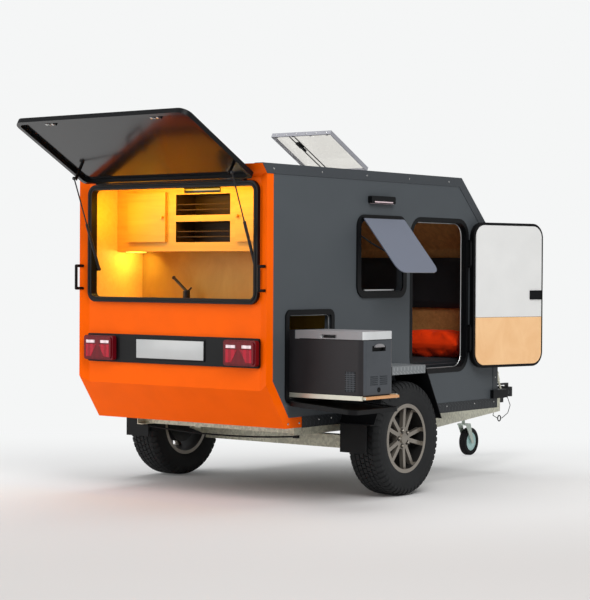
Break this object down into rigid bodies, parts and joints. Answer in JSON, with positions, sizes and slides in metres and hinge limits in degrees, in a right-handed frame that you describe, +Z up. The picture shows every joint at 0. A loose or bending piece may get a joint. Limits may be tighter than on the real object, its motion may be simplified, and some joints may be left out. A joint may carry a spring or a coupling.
{
  "type": "travel trailer",
  "caption": "Small hard-sided travel trailer with a rear galley hatch, side doors, slide-out cool box, roof hatch and a braked drawbar on a jockey wheel",
  "frame": {"origin": "centre of the tow-ball socket in the coupling head, on the trailer's centre plane", "axes": "+X forward along the drawbar, +Y to the left, +Z up"},
  "size_m": [4.4678, 2.205, 2.2194],
  "materials": {
    "acrylic": "tinted acrylic",
    "acrylic_clear": "clear acrylic",
    "alloy": "bronze-grey cast alloy",
    "birch_ply": "lacquered birch plywood",
    "black_plastic": "moulded black plastic",
    "black_rubber": "moulded rubber",
    "bright_steel": "ground steel rod",
    "coated_steel": "black coated steel",
    "cool_box": "moulded plastic",
    "cool_lid": "moulded plastic",
    "door_lining": "white laminate and birch plywood",
    "door_skin": "satin coated panel",
    "fender_plate": "coated chequer plate",
    "floor_ply": "coated plywood",
    "foam_fabric": "woven mattress cover",
    "galvanised": "hot-dip galvanised steel",
    "jockey_steel": "pale plated steel",
    "lamp_red": "clear moulded lens",
    "orange_shell": "gloss gel coat",
    "padding": "upholstered panel",
    "pillow_fabric": "woven cotton",
    "roof_skin": "satin coated sandwich panel",
    "sill_plate": "coated chequer plate",
    "tap_black": "black coated brass",
    "trim_grey": "powder-coated extrusion",
    "tyre": "tyre rubber",
    "wall_panel": "satin coated sandwich panel",
    "white_frame": "moulded light grey plastic"
  },
  "bodies": {
    "trailer": {"floor_panel": "floor_ply", "side_wall_right": "wall_panel", "side_wall_left": "wall_panel", "roof_panel": "roof_skin", "front_wall": "wall_panel", "rear_shell": "orange_shell", "edge_trims": "trim_grey", "sills": "sill_plate", "front_bumper": "black_plastic", "hatch_frame": "black_plastic", "lamp_bar": "black_plastic", "tail_lamps": "lamp_red", "grab_handles": "black_plastic", "opening_frames": "black_plastic", "door_frames": "black_rubber", "window_panes": "acrylic", "side_lamps": "black_plastic", "fridge_flap": "black_plastic", "slide_rails": "galvanised", "galley_carcass": "birch_ply", "galley_cabinet": "birch_ply", "worktop": "birch_ply", "tap": "tap_black", "bed_base": "birch_ply", "headboard": "padding", "mattress": "foam_fabric", "pillow": "pillow_fabric", "chassis_rails": "galvanised", "cross_members": "galvanised", "axle": "galvanised", "fenders": "fender_plate", "mudflaps": "black_rubber", "overrun_housing": "coated_steel", "coupling_head": "galvanised", "handbrake_lever": "coated_steel", "jockey_clamp": "galvanised", "roof_hatch_frame": "white_frame", "wiring_loom": "black_rubber", "breakaway_cable": "coated_steel"},
    "rear_hatch": {"rear_hatch": "black_plastic"},
    "strut_tube_left": {"strut_tube_left": "coated_steel"},
    "strut_tube_right": {"strut_tube_right": "coated_steel"},
    "strut_rod_left": {"strut_rod_left": "bright_steel"},
    "strut_rod_right": {"strut_rod_right": "bright_steel"},
    "door_right": {"door_right": "door_skin", "door_right_lining": "door_lining"},
    "door_left": {"door_left": "door_skin", "door_left_lining": "door_lining"},
    "roof_hatch": {"roof_hatch_lid": "acrylic_clear"},
    "fridge_slide": {"slide_tray": "birch_ply", "fridge_box": "cool_box"},
    "fridge_lid": {"fridge_lid": "cool_lid"},
    "wheel_left": {"tyre_left": "tyre", "rim_left": "alloy"},
    "wheel_right": {"tyre_right": "tyre", "rim_right": "alloy"},
    "jockey_fork": {"jockey_fork": "jockey_steel"},
    "jockey_wheel": {"jockey_wheel": "black_rubber"},
    "cupboard_left": {"cupboard_left": "birch_ply"},
    "cupboard_right": {"cupboard_right": "birch_ply"}
  },
  "joints": [
    {"name": "wheel_left_spin", "type": "hinge", "parent": "trailer", "child": "wheel_left", "pos_m": [-2.75, 0.8675, -0.104], "axis": [0, 1, 0], "continuous": true},
    {"name": "wheel_right_spin", "type": "hinge", "parent": "trailer", "child": "wheel_right", "pos_m": [-2.75, -0.8675, -0.104], "axis": [0, 1, 0], "continuous": true},
    {"name": "jockey_swivel", "type": "hinge", "parent": "trailer", "child": "jockey_fork", "pos_m": [-0.505, 0.062, -0.145], "axis": [0, 0, 1], "continuous": true},
    {"name": "jockey_wheel_spin", "type": "hinge", "parent": "jockey_fork", "child": "jockey_wheel", "pos_m": [-0.43, 0.062, -0.345], "axis": [0, 1, 0], "continuous": true},
    {"name": "rear_hatch_hinge", "type": "hinge", "parent": "trailer", "child": "rear_hatch", "pos_m": [-3.818, 0, 1.408], "axis": [0, 1, 0], "range_deg": [-119, 0]},
    {"name": "strut_left_tilt", "type": "hinge", "parent": "trailer", "child": "strut_tube_left", "pos_m": [-3.752, 0.61, 0.89517], "axis": [0, 1, 0], "range_deg": [-2, 21.47]},
    {"name": "strut_left_stroke", "type": "slide", "parent": "strut_tube_left", "child": "strut_rod_left", "axis": [-0.374, 0, 0.9274], "range_m": [-0.21854, 0.004]},
    {"name": "strut_right_tilt", "type": "hinge", "parent": "trailer", "child": "strut_tube_right", "pos_m": [-3.752, -0.61, 0.89517], "axis": [0, 1, 0], "range_deg": [-2, 21.47]},
    {"name": "strut_right_stroke", "type": "slide", "parent": "strut_tube_right", "child": "strut_rod_right", "axis": [-0.374, 0, 0.9274], "range_m": [-0.21854, 0.004]},
    {"name": "door_right_hinge", "type": "hinge", "parent": "trailer", "child": "door_right", "pos_m": [-1.70809, -0.747, 0.277], "axis": [0, 0, 1], "range_deg": [-166, 5]},
    {"name": "door_left_hinge", "type": "hinge", "parent": "trailer", "child": "door_left", "pos_m": [-1.70809, 0.747, 0.277], "axis": [0, 0, -1], "range_deg": [0, 171]},
    {"name": "roof_hatch_hinge", "type": "hinge", "parent": "trailer", "child": "roof_hatch", "pos_m": [-2.14811, 0, 1.523], "axis": [0, 1, 0], "range_deg": [-28, 32]},
    {"name": "fridge_slide", "type": "slide", "parent": "trailer", "child": "fridge_slide", "axis": [0, -1, 0], "range_m": [-0.479, 0]},
    {"name": "fridge_lid_hinge", "type": "hinge", "parent": "fridge_slide", "child": "fridge_lid", "pos_m": [-3.246, -0.9725, 0.50647], "axis": [0, 1, 0], "range_deg": [0, 85]},
    {"name": "cupboard_left_hinge", "type": "hinge", "parent": "trailer", "child": "cupboard_left", "pos_m": [-3.51699, 0.57999, 1.06097], "axis": [0, 0, -1], "range_deg": [0, 88]},
    {"name": "cupboard_right_hinge", "type": "hinge", "parent": "trailer", "child": "cupboard_right", "pos_m": [-3.51699, -0.57999, 1.06097], "axis": [0, 0, 1], "range_deg": [0, 88]}
  ],
  "couplings": [
    {"joint": "strut_left_tilt", "follows": "rear_hatch_hinge", "ratio": -0.16361},
    {"joint": "strut_left_stroke", "follows": "rear_hatch_hinge", "m_per_rad": 0.1033},
    {"joint": "strut_right_tilt", "follows": "rear_hatch_hinge", "ratio": -0.16361},
    {"joint": "strut_right_stroke", "follows": "rear_hatch_hinge", "m_per_rad": 0.1033}
  ]
}
